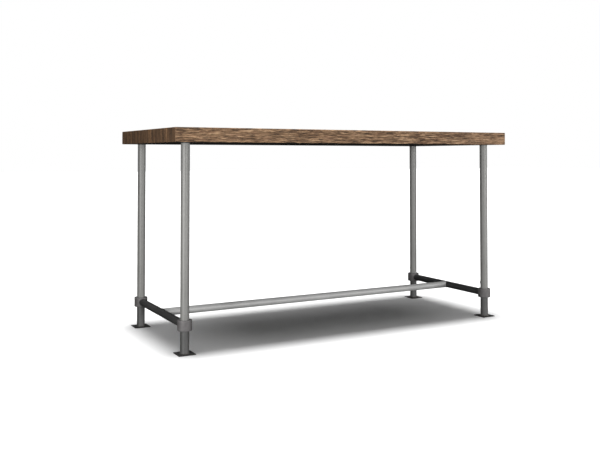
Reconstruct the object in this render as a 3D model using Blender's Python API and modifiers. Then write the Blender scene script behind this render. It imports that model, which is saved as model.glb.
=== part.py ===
"""Height adjustable standing desk with a plank top on four telescopic round steel legs.

Metres, +Z up. The origin is on the floor below the middle of the top: +X runs along the desk's
length to its right end, and +Y runs from its front to its back. The desk stands at its lowest height.
The base (plates, foot tubes, collars, stretchers and guide posts) stays on the floor. The top, with
its leg tubes, slides up on the guide posts and is clamped by one lock screw in each leg.
"""

import math

import bmesh
import bpy
from mathutils import Matrix

# Driving dimensions
DESK_LENGTH = 2.0
DESK_DEPTH = 0.865
DESK_HEIGHT = 1.06
TOP_THICKNESS = 0.07
LEG_INSET_X = 0.083
LEG_INSET_Y = 0.093
GAP = 0.0003

# Planks, edge-jointed with a tongue on each plank's back edge and a groove in its front edge
PLANK_COUNT = 6
PLANK_PITCH = (DESK_DEPTH + GAP) / PLANK_COUNT
PLANK_CHAMFER = 0.0015
TONGUE_THICKNESS = 0.014
TONGUE_REACH = 0.010

# Round tubes
LEG_DIAMETER = 0.0424
LEG_WALL = 0.0026
RAIL_DIAMETER = 0.038
RAIL_WALL = 0.0026
POST_DIAMETER = 0.0337
POST_WALL = 0.0026
TUBE_SEGMENTS = 32
SMALL_SEGMENTS = 24
COPE_SEGMENTS = 34

# Base plates, and the flanges let into the underside of the top
BASE_PLATE_SIDE = 0.086
BASE_PLATE_THICKNESS = 0.003
FLANGE_SIDE = 0.090
FLANGE_THICKNESS = 0.004
FLANGE_HOLE_PITCH = 0.070
FLANGE_HOLE_DIAMETER = 0.0055
PLATE_CHAMFER = 0.0007

# Collars, which hold the leg joints and the side stretchers
COLLAR_DIAMETER = 0.070
COLLAR_HEIGHT = 0.050
RAIL_LEVEL = 0.134
SOCKET_FLOOR = 0.0235

# Guides inside the legs
POST_TOP = 0.520
CAP_HEAD = 0.012
CAP_SPIGOT = 0.020
BUSH_HEIGHT = 0.025

# Set screws: the lock screws, the collar screws and the stretcher screws
LOCK_LEVEL = 0.190
LOCK_DIAMETER = 0.010
LOCK_PROUD = 0.001
BOSS_DIAMETER = 0.018
BOSS_REACH = 0.0275
COLLAR_SCREW_LEVEL = 0.120
COLLAR_SCREW_DIAMETER = 0.010
COLLAR_SCREW_RECESS = 0.001
RAIL_SCREW_DIAMETER = 0.006
RAIL_SCREW_RADIUS = 0.0290
RAIL_SCREW_RECESS = 0.0005

# Values worked out from the dimensions above
LEG_X = DESK_LENGTH / 2 - LEG_INSET_X
LEG_Y = DESK_DEPTH / 2 - LEG_INSET_Y
LEG_RADIUS = LEG_DIAMETER / 2
RAIL_RADIUS = RAIL_DIAMETER / 2
POST_RADIUS = POST_DIAMETER / 2
TOP_UNDERSIDE = DESK_HEIGHT - TOP_THICKNESS
FLANGE_TOP = TOP_UNDERSIDE + FLANGE_THICKNESS
LEG_TUBE_TOP = TOP_UNDERSIDE - GAP
LEG_TUBE_FOOT = RAIL_LEVEL + GAP / 2
FOOT_TUBE_TOP = RAIL_LEVEL - GAP / 2
FOOT_TUBE_FOOT = BASE_PLATE_THICKNESS + GAP
COLLAR_FOOT = RAIL_LEVEL - COLLAR_HEIGHT / 2

# Each corner's name and the signs of its X and Y
CORNERS = {
    "front_left": (-1, -1),
    "front_right": (1, -1),
    "back_left": (-1, 1),
    "back_right": (1, 1),
}


def clear_scene():
    """Removes what the start-up scene holds."""
    for obj in list(bpy.data.objects):
        bpy.data.objects.remove(obj)


def new_collection(name):
    """A collection linked to the scene."""
    collection = bpy.data.collections.new(name)
    bpy.context.scene.collection.children.link(collection)
    return collection


def new_material(name, colour, roughness, metallic):
    """A Principled material of one colour."""
    material = bpy.data.materials.new(name)
    material.use_nodes = True
    shader = material.node_tree.nodes["Principled BSDF"]
    shader.inputs["Base Color"].default_value = (*colour, 1.0)
    shader.inputs["Roughness"].default_value = roughness
    shader.inputs["Metallic"].default_value = metallic
    return material


clear_scene()
PARTS = new_collection("standing_desk")
CUTTERS = new_collection("cutters")
WOOD = new_material("reclaimed_wood", (0.24, 0.15, 0.085), 0.7, 0.0)
LIGHT_STEEL = new_material("light_steel", (0.50, 0.50, 0.48), 0.38, 1.0)
DARK_STEEL = new_material("dark_steel", (0.16, 0.16, 0.155), 0.45, 1.0)
CAST_IRON = new_material("cast_iron", (0.17, 0.16, 0.16), 0.6, 0.8)
BLACK_PLATE = new_material("black_plate", (0.035, 0.035, 0.035), 0.5, 0.6)
SCREW_STEEL = new_material("screw_steel", (0.10, 0.10, 0.10), 0.35, 1.0)
NYLON = new_material("nylon", (0.05, 0.05, 0.05), 0.55, 0.0)

HEIGHT_ADJUST = bpy.data.objects.new("height_adjust", None)
PARTS.objects.link(HEIGHT_ADJUST)


def mesh_object(name, mesh, collection):
    """An object of this mesh in this collection."""
    obj = bpy.data.objects.new(name, mesh)
    collection.objects.link(obj)
    return obj


def box(name, size, collection=PARTS):
    """A box centred on its origin."""
    form = bmesh.new()
    bmesh.ops.create_cube(form, size=1.0, matrix=Matrix.Diagonal((*size, 1.0)))
    mesh = bpy.data.meshes.new(name)
    form.to_mesh(mesh)
    form.free()
    return mesh_object(name, mesh, collection)


def cylinder(name, radius, length, segments, collection=PARTS):
    """A cylinder along Z, centred on its origin."""
    form = bmesh.new()
    bmesh.ops.create_cone(
        form, cap_ends=True, radius1=radius, radius2=radius, depth=length, segments=segments
    )
    mesh = bpy.data.meshes.new(name)
    form.to_mesh(mesh)
    form.free()
    return mesh_object(name, mesh, collection)


def turned(name, profile, closed, segments):
    """A profile of (radius, height) points turned about Z; a closed one is a ring."""
    edges = [(i, i + 1) for i in range(len(profile) - 1)]
    if closed:
        edges.append((len(profile) - 1, 0))
    mesh = bpy.data.meshes.new(name)
    mesh.from_pydata([(radius, 0.0, height) for radius, height in profile], edges, [])
    obj = mesh_object(name, mesh, PARTS)
    screw = obj.modifiers.new("turn", "SCREW")
    screw.steps = segments
    screw.render_steps = segments
    screw.use_merge_vertices = not closed
    screw.merge_threshold = 0.0001
    return obj


def tube(name, outer, inner, low, high, segments=TUBE_SEGMENTS):
    """A round tube along Z between two heights, given its outer and inner radius."""
    profile = [(outer, high), (outer, low), (inner, low), (inner, high)]
    return turned(name, profile, True, segments)


def as_cutter(obj):
    """Marks an object as a cutter, which isn't a piece of the desk."""
    obj.hide_render = True
    obj.display_type = "WIRE"
    return obj


def drill(name, radius, start, end, axis, segments=SMALL_SEGMENTS):
    """A cylindrical cutter along X, Y or Z, from start to end."""
    length = math.dist(start, end)
    obj = as_cutter(cylinder(name, radius, length, segments, CUTTERS))
    obj.location = [(a + b) / 2 for a, b in zip(start, end)]
    turns = {"X": (0, math.pi / 2, 0), "Y": (math.pi / 2, 0, 0), "Z": (0, 0, 0)}
    obj.rotation_euler = turns[axis]
    return obj


def boolean(obj, other, operation="DIFFERENCE"):
    """Cuts another object from this one, or joins it on."""
    modifier = obj.modifiers.new(other.name, "BOOLEAN")
    modifier.operation = operation
    modifier.object = other


def chamfer(obj, width):
    """Breaks every edge of a box."""
    bevel = obj.modifiers.new("chamfer", "BEVEL")
    bevel.width = width
    bevel.segments = 1


def settle(obj, material, parent=None):
    """Applies the modifiers, shades round faces smooth, and gives the piece its material."""
    bpy.context.view_layer.update()
    graph = bpy.context.evaluated_depsgraph_get()
    mesh = bpy.data.meshes.new_from_object(obj.evaluated_get(graph))
    obj.modifiers.clear()
    obj.data = mesh
    mesh.name = obj.name
    mesh.shade_smooth()
    mesh.set_sharp_from_angle(angle=math.radians(30))
    mesh.materials.clear()
    mesh.materials.append(material)
    obj.parent = parent
    return obj


def leg_place(corner, level=0.0):
    """A point on a corner's leg axis."""
    side_x, side_y = CORNERS[corner]
    return (side_x * LEG_X, side_y * LEG_Y, level)


def cut_flange_pockets(plank, low_y, high_y):
    """Cuts the pockets for the leg flanges that lie between two depths into a plank's underside."""
    side = FLANGE_SIDE + 2 * GAP
    depth = FLANGE_THICKNESS + GAP
    for corner in CORNERS:
        x, y, level = leg_place(corner, TOP_UNDERSIDE)
        if low_y < y < high_y:
            pocket = as_cutter(box(f"flange_pocket_{corner}", (side, side, 2 * depth), CUTTERS))
            pocket.location = (x, y, level)
            boolean(plank, pocket)


def make_planks():
    """The top: planks side by side, each with a tongue that lies in the next one's groove."""
    middle = DESK_HEIGHT - TOP_THICKNESS / 2
    for index in range(PLANK_COUNT):
        centre_y = (index - (PLANK_COUNT - 1) / 2) * PLANK_PITCH
        width = PLANK_PITCH - GAP
        plank = box(f"top_plank_{index + 1}", (DESK_LENGTH, width, TOP_THICKNESS))
        plank.location = (0, centre_y, middle)
        chamfer(plank, PLANK_CHAMFER)
        if index < PLANK_COUNT - 1:
            size = (DESK_LENGTH - 2 * PLANK_CHAMFER, 2 * TONGUE_REACH, TONGUE_THICKNESS)
            tongue = as_cutter(box(f"tongue_{index + 1}", size, CUTTERS))
            tongue.location = (0, centre_y + width / 2, middle)
            boolean(plank, tongue, "UNION")
        if index > 0:
            depth = 2 * (TONGUE_REACH + GAP)
            size = (DESK_LENGTH + 0.02, depth, TONGUE_THICKNESS + 2 * GAP)
            groove = as_cutter(box(f"groove_{index + 1}", size, CUTTERS))
            groove.location = (0, centre_y - width / 2, middle)
            boolean(plank, groove)
        cut_flange_pockets(plank, centre_y - width / 2, centre_y + width / 2)
        settle(plank, WOOD, HEIGHT_ADJUST)


def make_base_plate(corner):
    """The square plate that stands on the floor."""
    size = (BASE_PLATE_SIDE, BASE_PLATE_SIDE, BASE_PLATE_THICKNESS)
    plate = box(f"base_plate_{corner}", size)
    plate.location = leg_place(corner, BASE_PLATE_THICKNESS / 2)
    chamfer(plate, PLATE_CHAMFER)
    settle(plate, BLACK_PLATE)


def make_foot_tube(corner):
    """The short lower tube between the base plate and the middle of the collar."""
    inner = LEG_RADIUS - LEG_WALL
    foot = tube(f"foot_tube_{corner}", LEG_RADIUS, inner, FOOT_TUBE_FOOT, FOOT_TUBE_TOP)
    foot.location = leg_place(corner)
    settle(foot, DARK_STEEL)


def make_guide_post(corner):
    """The inner tube, fixed in the foot tube, on which the leg tube slides."""
    inner = POST_RADIUS - POST_WALL
    name = f"guide_post_{corner}"
    post = tube(name, POST_RADIUS, inner, FOOT_TUBE_FOOT, POST_TOP, SMALL_SEGMENTS)
    post.location = leg_place(corner)
    settle(post, LIGHT_STEEL)


def make_guide_cap(corner):
    """The plug in the guide post's top, whose head guides the inside of the leg tube."""
    head_radius = LEG_RADIUS - LEG_WALL - GAP
    spigot_radius = POST_RADIUS - POST_WALL - GAP
    seat = POST_TOP + GAP
    profile = [
        (0.0, seat + CAP_HEAD),
        (head_radius, seat + CAP_HEAD),
        (head_radius, seat),
        (spigot_radius, seat),
        (spigot_radius, seat - CAP_SPIGOT),
        (0.0, seat - CAP_SPIGOT),
    ]
    cap = turned(f"guide_cap_{corner}", profile, False, SMALL_SEGMENTS)
    cap.location = leg_place(corner)
    settle(cap, NYLON)


def make_collar(corner):
    """The collar: a bore for the leg joint, a socket for the side stretcher and two screw holes."""
    side_x, side_y = CORNERS[corner]
    x, y, level = leg_place(corner, RAIL_LEVEL)
    name = f"collar_{corner}"
    top = COLLAR_FOOT + COLLAR_HEIGHT
    collar = tube(name, COLLAR_DIAMETER / 2, LEG_RADIUS + GAP, COLLAR_FOOT, top)
    collar.location = (x, y, 0)
    inward_x = -side_x
    inward_y = -side_y
    socket = drill(
        f"socket_{corner}",
        RAIL_RADIUS + GAP,
        (x, y + inward_y * SOCKET_FLOOR, level),
        (x, y + inward_y * COLLAR_DIAMETER, level),
        "Y",
        TUBE_SEGMENTS,
    )
    boolean(collar, socket)
    leg_screw_hole = drill(
        f"collar_screw_hole_{corner}",
        COLLAR_SCREW_DIAMETER / 2 + GAP,
        (x + inward_x * LEG_RADIUS / 2, y, COLLAR_SCREW_LEVEL),
        (x + inward_x * COLLAR_DIAMETER, y, COLLAR_SCREW_LEVEL),
        "X",
    )
    boolean(collar, leg_screw_hole)
    screw_y = y + inward_y * RAIL_SCREW_RADIUS
    rail_screw_hole = drill(
        f"stretcher_screw_hole_{corner}",
        RAIL_SCREW_DIAMETER / 2 + GAP,
        (x, screw_y, COLLAR_FOOT - 0.01),
        (x, screw_y, level),
        "Z",
    )
    boolean(collar, rail_screw_hole)
    settle(collar, CAST_IRON)


def make_set_screw(name, diameter, length, location, rotation, parent=None):
    """A set screw along its own Z from its tip at the origin, with a hexagon socket in its head."""
    screw = cylinder(name, diameter / 2, length, SMALL_SEGMENTS)
    screw.data.transform(Matrix.Translation((0, 0, length / 2)))
    socket_depth = length * 0.4
    socket = as_cutter(cylinder(f"{name}_socket", diameter * 0.29, 2 * socket_depth, 6, CUTTERS))
    socket.location = (0, 0, length)
    boolean(screw, socket)
    settle(screw, SCREW_STEEL, parent)
    screw.location = location
    screw.rotation_euler = rotation


def make_collar_screw(corner):
    """The set screw that fixes the collar to the foot tube, on the desk's inner side."""
    side_x, side_y = CORNERS[corner]
    x, y, level = leg_place(corner, COLLAR_SCREW_LEVEL)
    tip = LEG_RADIUS + GAP
    length = COLLAR_DIAMETER / 2 - COLLAR_SCREW_RECESS - tip
    make_set_screw(
        f"collar_screw_{corner}",
        COLLAR_SCREW_DIAMETER,
        length,
        (x - side_x * tip, y, level),
        (0, -side_x * math.pi / 2, 0),
    )


def make_stretcher_screw(corner):
    """The set screw that fixes the side stretcher in the collar, from below."""
    side_x, side_y = CORNERS[corner]
    x, y, level = leg_place(corner, RAIL_LEVEL - RAIL_RADIUS - GAP)
    length = level - COLLAR_FOOT - RAIL_SCREW_RECESS
    make_set_screw(
        f"stretcher_screw_{corner}",
        RAIL_SCREW_DIAMETER,
        length,
        (x, y - side_y * RAIL_SCREW_RADIUS, level),
        (math.pi, 0, 0),
    )


def make_side_stretcher(side, side_x):
    """The rail between the front and the back collar at one end of the desk."""
    reach = LEG_Y - SOCKET_FLOOR - GAP
    rail = tube(f"side_stretcher_{side}", RAIL_RADIUS, RAIL_RADIUS - RAIL_WALL, -reach, reach)
    rail.location = (side_x * LEG_X, 0, RAIL_LEVEL)
    rail.rotation_euler = (math.pi / 2, 0, 0)
    settle(rail, DARK_STEEL)


def make_long_stretcher():
    """The rail between the side stretchers, with both ends coped to fit round them.

    The cope has its own number of segments, so that its edges cross the rail's edges cleanly.
    """
    reach = LEG_X - RAIL_WALL / 2
    rail = tube("long_stretcher", RAIL_RADIUS, RAIL_RADIUS - RAIL_WALL, -reach, reach)
    rail.location = (0, 0, RAIL_LEVEL)
    rail.rotation_euler = (0, math.pi / 2, 0)
    for side, side_x in (("left", -1), ("right", 1)):
        cope = drill(
            f"cope_{side}",
            RAIL_RADIUS + GAP,
            (side_x * LEG_X, -2 * RAIL_DIAMETER, RAIL_LEVEL),
            (side_x * LEG_X, 2 * RAIL_DIAMETER, RAIL_LEVEL),
            "Y",
            COPE_SEGMENTS,
        )
        boolean(rail, cope)
    settle(rail, LIGHT_STEEL)


def make_leg_tube(corner):
    """The upper leg tube, with a hole in its back for the lock screw."""
    x, y, level = leg_place(corner, LOCK_LEVEL)
    inner = LEG_RADIUS - LEG_WALL
    leg = tube(f"leg_tube_{corner}", LEG_RADIUS, inner, LEG_TUBE_FOOT, LEG_TUBE_TOP)
    leg.location = (x, y, 0)
    hole = drill(
        f"lock_hole_{corner}",
        LOCK_DIAMETER / 2 + GAP,
        (x, y + LEG_RADIUS / 2, level),
        (x, y + 2 * LEG_RADIUS, level),
        "Y",
    )
    boolean(leg, hole)
    settle(leg, LIGHT_STEEL, HEIGHT_ADJUST)


def make_guide_bush(corner):
    """The plastic ring in the leg tube's lower end, which slides on the guide post."""
    outer = LEG_RADIUS - LEG_WALL - GAP
    inner = POST_RADIUS + GAP
    top = LEG_TUBE_FOOT + BUSH_HEIGHT
    bush = tube(f"guide_bush_{corner}", outer, inner, LEG_TUBE_FOOT, top, SMALL_SEGMENTS)
    bush.location = leg_place(corner)
    settle(bush, NYLON, HEIGHT_ADJUST)


def make_lock_boss(corner):
    """The threaded boss on the back of the leg tube, shaped to the tube."""
    x, y, level = leg_place(corner, LOCK_LEVEL)
    start = LEG_RADIUS * 0.75
    boss = cylinder(f"lock_boss_{corner}", BOSS_DIAMETER / 2, BOSS_REACH - start, SMALL_SEGMENTS)
    boss.location = (x, y + (start + BOSS_REACH) / 2, level)
    boss.rotation_euler = (math.pi / 2, 0, 0)
    saddle = drill(
        f"boss_saddle_{corner}",
        LEG_RADIUS + GAP,
        (x, y, level - BOSS_DIAMETER),
        (x, y, level + BOSS_DIAMETER),
        "Z",
        TUBE_SEGMENTS,
    )
    boolean(boss, saddle)
    thread = drill(
        f"boss_thread_{corner}",
        LOCK_DIAMETER / 2 + GAP,
        (x, y + LEG_RADIUS / 2, level),
        (x, y + 2 * LEG_RADIUS, level),
        "Y",
    )
    boolean(boss, thread)
    settle(boss, LIGHT_STEEL, HEIGHT_ADJUST)


def make_lock_screw(corner):
    """The set screw that clamps the guide post; it turns about its own Z, the desk's +Y."""
    x, y, level = leg_place(corner, LOCK_LEVEL)
    tip = POST_RADIUS + GAP
    make_set_screw(
        f"lock_screw_{corner}",
        LOCK_DIAMETER,
        BOSS_REACH + LOCK_PROUD - tip,
        (x, y + tip, level),
        (-math.pi / 2, 0, 0),
        HEIGHT_ADJUST,
    )


def make_leg_flange(corner):
    """The plate on the leg tube's top end, with four holes for wood screws."""
    x, y, level = leg_place(corner, FLANGE_TOP - FLANGE_THICKNESS / 2)
    flange = box(f"leg_flange_{corner}", (FLANGE_SIDE, FLANGE_SIDE, FLANGE_THICKNESS))
    flange.location = (x, y, level)
    chamfer(flange, PLATE_CHAMFER)
    for index, (step_x, step_y) in enumerate(CORNERS.values()):
        hole_x = x + step_x * FLANGE_HOLE_PITCH / 2
        hole_y = y + step_y * FLANGE_HOLE_PITCH / 2
        hole = drill(
            f"flange_hole_{corner}_{index + 1}",
            FLANGE_HOLE_DIAMETER / 2,
            (hole_x, hole_y, level - FLANGE_THICKNESS),
            (hole_x, hole_y, level + FLANGE_THICKNESS),
            "Z",
            12,
        )
        boolean(flange, hole)
    settle(flange, BLACK_PLATE, HEIGHT_ADJUST)


make_planks()
for corner_name in CORNERS:
    make_base_plate(corner_name)
    make_foot_tube(corner_name)
    make_guide_post(corner_name)
    make_guide_cap(corner_name)
    make_collar(corner_name)
    make_collar_screw(corner_name)
    make_stretcher_screw(corner_name)
    make_leg_tube(corner_name)
    make_guide_bush(corner_name)
    make_lock_boss(corner_name)
    make_lock_screw(corner_name)
    make_leg_flange(corner_name)
make_side_stretcher("left", -1)
make_side_stretcher("right", 1)
make_long_stretcher()
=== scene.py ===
"""Looks of the height adjustable standing desk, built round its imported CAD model. Metres, +Z up."""

import math
import random

import bmesh
import bpy
from mathutils import Matrix, Vector, noise


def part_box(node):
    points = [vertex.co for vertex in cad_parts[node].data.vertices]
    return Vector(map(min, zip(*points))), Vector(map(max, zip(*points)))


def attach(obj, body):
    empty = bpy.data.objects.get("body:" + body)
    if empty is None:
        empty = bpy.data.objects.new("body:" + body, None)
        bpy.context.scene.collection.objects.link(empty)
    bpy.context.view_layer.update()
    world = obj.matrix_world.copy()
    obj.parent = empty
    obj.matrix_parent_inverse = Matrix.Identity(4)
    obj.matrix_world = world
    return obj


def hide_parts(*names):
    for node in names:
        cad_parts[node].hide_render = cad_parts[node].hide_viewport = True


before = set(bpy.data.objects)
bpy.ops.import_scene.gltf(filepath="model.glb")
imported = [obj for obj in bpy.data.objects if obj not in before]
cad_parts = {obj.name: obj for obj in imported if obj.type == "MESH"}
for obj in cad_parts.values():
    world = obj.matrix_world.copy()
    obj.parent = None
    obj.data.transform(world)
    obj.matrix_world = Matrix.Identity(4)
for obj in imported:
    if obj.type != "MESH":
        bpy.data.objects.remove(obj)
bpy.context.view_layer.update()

# The camera and the studio
CAMERA_PLACE = (-2.2222, -3.8585, 0.9295)
CAMERA_YAW = 28.634
CAMERA_PITCH = 1.558
CAMERA_LENS = 47.23
CAMERA_SHIFT = -0.1518
FLOOR_SIZE = 80.0
FLOOR_DROP = 0.0004
SOFT_BOXES = [
    # name, place, target, size, power, whether glossy surfaces show it
    ("front", (0.5, -5.6, 0.75), (0, 0, 0.62), (3.4, 1.2), 186.0, True),
    ("near_left", (-2.9, -1.7, 0.65), (-0.9, -0.2, 0.62), (1.0, 1.1), 58.0, True),
    ("near_right", (2.6, -2.2, 0.65), (0.8, -0.2, 0.62), (1.0, 1.1), 40.0, True),
    ("far_left", (-5.5, -4.2, 0.75), (0, 0, 0.62), (2.4, 1.2), 92.0, True),
    ("back", (2.2, 4.8, 0.8), (0, 0, 0.62), (3.4, 1.2), 240.0, False),
]
SUNS = [
    # name, strength, angle of its disc, lean to the right
    ("overhead", 4.0, 13.3, 0.0),
    ("overhead_wide", 1.72, 61.0, 3.0),
]
SUN_HEIGHT = 5.0
WORLD_LIGHT = 0.012
FLOOR_WHITE = 0.84

# The solids' sizes that the boxes of the frame don't give
GAP = 0.0003
LEG_WALL = 0.0026
RAIL_WALL = 0.0026
POST_WALL = 0.0026
TONGUE_REACH = 0.010
TONGUE_THICKNESS = 0.014
SOCKET_FLOOR = 0.0235
PLATE_CORNER = 0.005
RAIL_SCREW_RADIUS = 0.0290
FLANGE_HOLE_PITCH = 0.070
FLANGE_HOLE_RADIUS = 0.00275
BOSS_START = 0.012

# What only this model has: welds' half widths, wood screws and softened edges
FOOT_WELD = 0.0026
FLANGE_WELD = 0.0024
BOSS_WELD = 0.0014
RAIL_WELD = 0.0017
WOOD_SCREW_HEAD = 0.0048
WOOD_SCREW_HEAD_HEIGHT = 0.0024
WOOD_SCREW_SHANK = 0.0021
WOOD_SCREW_REACH = 0.016
COUNTERSINK_RADIUS = 0.0052
COUNTERSINK_DEPTH = 0.0027
COUNTERSINK_TIP = 0.0026
TUBE_RIM = 0.0006
PLATE_EDGE = 0.0008
FLANGE_EDGE = 0.0005
COLLAR_FILLET = 0.0030
COLLAR_BORE_EDGE = 0.0008

# How finely the pieces are meshed
ROUND = 96
FINE_ROUND = 48
PLANK_STEP = 0.008
SHARP_ANGLE = 35.0
CUTTER_REACH = 0.06
BEAD_POINTS = 320
BEAD_SIDES = 10

# Each corner's name and the signs of its X and Y
CORNERS = {
    "front_left": (-1, -1),
    "front_right": (1, -1),
    "back_left": (-1, 1),
    "back_right": (1, 1),
}
PLANKS = [f"top_plank_{number}" for number in range(1, 7)]


def centre_of(node):
    """The middle of a CAD node's box."""
    low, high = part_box(node)
    return (low + high) / 2


def size_of(node):
    """The lengths of a CAD node's box."""
    low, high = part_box(node)
    return high - low


LEG_RADIUS = size_of("leg_tube_front_left").x / 2
RAIL_RADIUS = size_of("side_stretcher_left").x / 2
POST_RADIUS = size_of("guide_post_front_left").x / 2
COLLAR_RADIUS = size_of("collar_front_left").x / 2
RAIL_LEVEL = centre_of("long_stretcher").z


# ---------- Nodes ----------


class Tree:
    """A short way to write a material's node tree."""

    def __init__(self, name):
        self.material = bpy.data.materials.new(name)
        self.material.use_nodes = True
        self.nodes = self.material.node_tree.nodes
        self.links = self.material.node_tree.links
        self.shader = self.nodes["Principled BSDF"]
        self.coord = self.nodes.new("ShaderNodeTexCoord").outputs["Object"]

    def feed(self, socket, value):
        """Links a socket to this input, or sets the input's own value."""
        if isinstance(value, bpy.types.NodeSocket):
            self.links.new(value, socket)
        else:
            socket.default_value = value

    def math(self, operation, first, second=0.0):
        """One sum of two values."""
        node = self.nodes.new("ShaderNodeMath")
        node.operation = operation
        self.feed(node.inputs[0], first)
        self.feed(node.inputs[1], second)
        return node.outputs[0]

    def plus(self, first, second):
        """The first value plus the second."""
        return self.math("ADD", first, second)

    def minus(self, first, second):
        """The first value less the second."""
        return self.math("SUBTRACT", first, second)

    def times(self, first, second):
        """The first value times the second."""
        return self.math("MULTIPLY", first, second)

    def swing(self, value, amount):
        """How far a value of 0 to 1 is from its middle, times an amount."""
        return self.times(self.minus(value, 0.5), amount)

    def crack(self, value, inner, outer):
        """1 along the thin lines where a value of 0 to 1 crosses its middle, 0 elsewhere."""
        distance = self.math("ABSOLUTE", self.minus(value, 0.5))
        return self.spread(distance, inner, outer, 1.0, 0.0)

    def vector(self, operation, first, second=(0.0, 0.0, 0.0)):
        """One sum of two vectors."""
        node = self.nodes.new("ShaderNodeVectorMath")
        node.operation = operation
        self.feed(node.inputs[0], first)
        self.feed(node.inputs[1], second)
        return node.outputs["Value" if operation == "LENGTH" else "Vector"]

    def stretch(self, vector, scales, shift=(0.0, 0.0, 0.0)):
        """The vector times one scale for each axis, after a shift."""
        node = self.nodes.new("ShaderNodeMapping")
        node.vector_type = "POINT"
        self.feed(node.inputs["Vector"], vector)
        node.inputs["Scale"].default_value = scales
        node.inputs["Location"].default_value = shift
        return node.outputs["Vector"]

    def noise(self, vector, detail=3.0, roughness=0.55, distortion=0.0, colour=False):
        """Soft noise, as a value or as a colour."""
        node = self.nodes.new("ShaderNodeTexNoise")
        self.feed(node.inputs["Vector"], vector)
        node.inputs["Scale"].default_value = 1.0
        node.inputs["Detail"].default_value = detail
        node.inputs["Roughness"].default_value = roughness
        node.inputs["Distortion"].default_value = distortion
        return node.outputs["Color" if colour else "Fac"]

    def cells(self, vector):
        """The node of a pattern of cells round scattered points."""
        node = self.nodes.new("ShaderNodeTexVoronoi")
        self.feed(node.inputs["Vector"], vector)
        node.inputs["Scale"].default_value = 1.0
        return node

    def spread(self, value, low, high, to_low=0.0, to_high=1.0):
        """Maps low..high smoothly to to_low..to_high, clamped."""
        node = self.nodes.new("ShaderNodeMapRange")
        node.interpolation_type = "SMOOTHSTEP"
        self.feed(node.inputs["Value"], value)
        node.inputs["From Min"].default_value = low
        node.inputs["From Max"].default_value = high
        node.inputs["To Min"].default_value = to_low
        node.inputs["To Max"].default_value = to_high
        return node.outputs["Result"]

    def ramp(self, value, stops):
        """A colour ramp through (position, (red, green, blue)) stops."""
        node = self.nodes.new("ShaderNodeValToRGB")
        self.feed(node.inputs["Fac"], value)
        elements = node.color_ramp.elements
        while len(elements) < len(stops):
            elements.new(0.5)
        for element, (position, colour) in zip(elements, stops):
            element.position = position
            element.color = (*colour, 1.0)
        return node.outputs["Color"]

    def mix(self, factor, first, second):
        """A blend of two colours."""
        node = self.nodes.new("ShaderNodeMix")
        node.data_type = "RGBA"
        self.feed(node.inputs["Factor"], factor)
        self.feed(node.inputs["A"], first if not isinstance(first, tuple) else (*first, 1.0))
        self.feed(node.inputs["B"], second if not isinstance(second, tuple) else (*second, 1.0))
        return node.outputs["Result"]

    def bump(self, height, strength, distance):
        """The normal of a surface with fine relief."""
        node = self.nodes.new("ShaderNodeBump")
        node.inputs["Strength"].default_value = strength
        node.inputs["Distance"].default_value = distance
        self.feed(node.inputs["Height"], height)
        return node.outputs["Normal"]

    def attribute(self, name):
        """A value that is stored on the mesh."""
        node = self.nodes.new("ShaderNodeAttribute")
        node.attribute_name = name
        return node.outputs["Fac"]

    def normal_part(self, axis):
        """The size of the true normal's X, Y or Z part, whichever way the face looks."""
        geometry = self.nodes.new("ShaderNodeNewGeometry")
        parts = self.nodes.new("ShaderNodeSeparateXYZ")
        self.links.new(geometry.outputs["True Normal"], parts.inputs[0])
        return self.math("ABSOLUTE", parts.outputs[axis])

    def finish(self, colour, roughness, metallic, normal, specular=0.5):
        """Sets the shader's inputs and returns the material."""
        self.feed(self.shader.inputs["Base Color"], colour)
        self.feed(self.shader.inputs["Roughness"], roughness)
        self.feed(self.shader.inputs["Normal"], normal)
        self.shader.inputs["Metallic"].default_value = metallic
        self.shader.inputs["Specular IOR Level"].default_value = specular
        return self.material


# ---------- Materials ----------

WOOD_TONES = [
    (0.00, (0.012, 0.006, 0.003)),
    (0.22, (0.045, 0.025, 0.013)),
    (0.42, (0.108, 0.060, 0.030)),
    (0.58, (0.186, 0.103, 0.052)),
    (0.76, (0.290, 0.172, 0.091)),
    (1.00, (0.410, 0.265, 0.152)),
]


# How strongly each scale of the grain moves the tone
GRAIN_WEIGHTS = {
    "streaks": 2.45,
    "lines": 2.50,
    "broad": 0.60,
    "rings": 0.14,
    "patches": 0.40,
    "fibre": 0.35,
}


def wood_board(tree, seed, heart):
    """A plank's own swaying coordinates, and each point's distance from the log's middle."""
    board = tree.stretch(tree.coord, (1.0, 1.0, 1.0), (seed * 3.7, seed * 1.9, seed * 1.3))
    sway = tree.noise(tree.stretch(board, (2.6, 6.0, 6.0)), 2.0, 0.5, colour=True)
    sway = tree.vector("MULTIPLY", tree.vector("SUBTRACT", sway, (0.5, 0.5, 0.5)), (0.0, 0.024, 0.024))
    from_heart = tree.vector("SUBTRACT", tree.vector("ADD", tree.coord, sway), (0.0, *heart))
    radius = tree.vector("LENGTH", tree.vector("MULTIPLY", from_heart, (0.0, 1.0, 1.0)))
    return tree.vector("ADD", board, sway), radius


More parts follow.
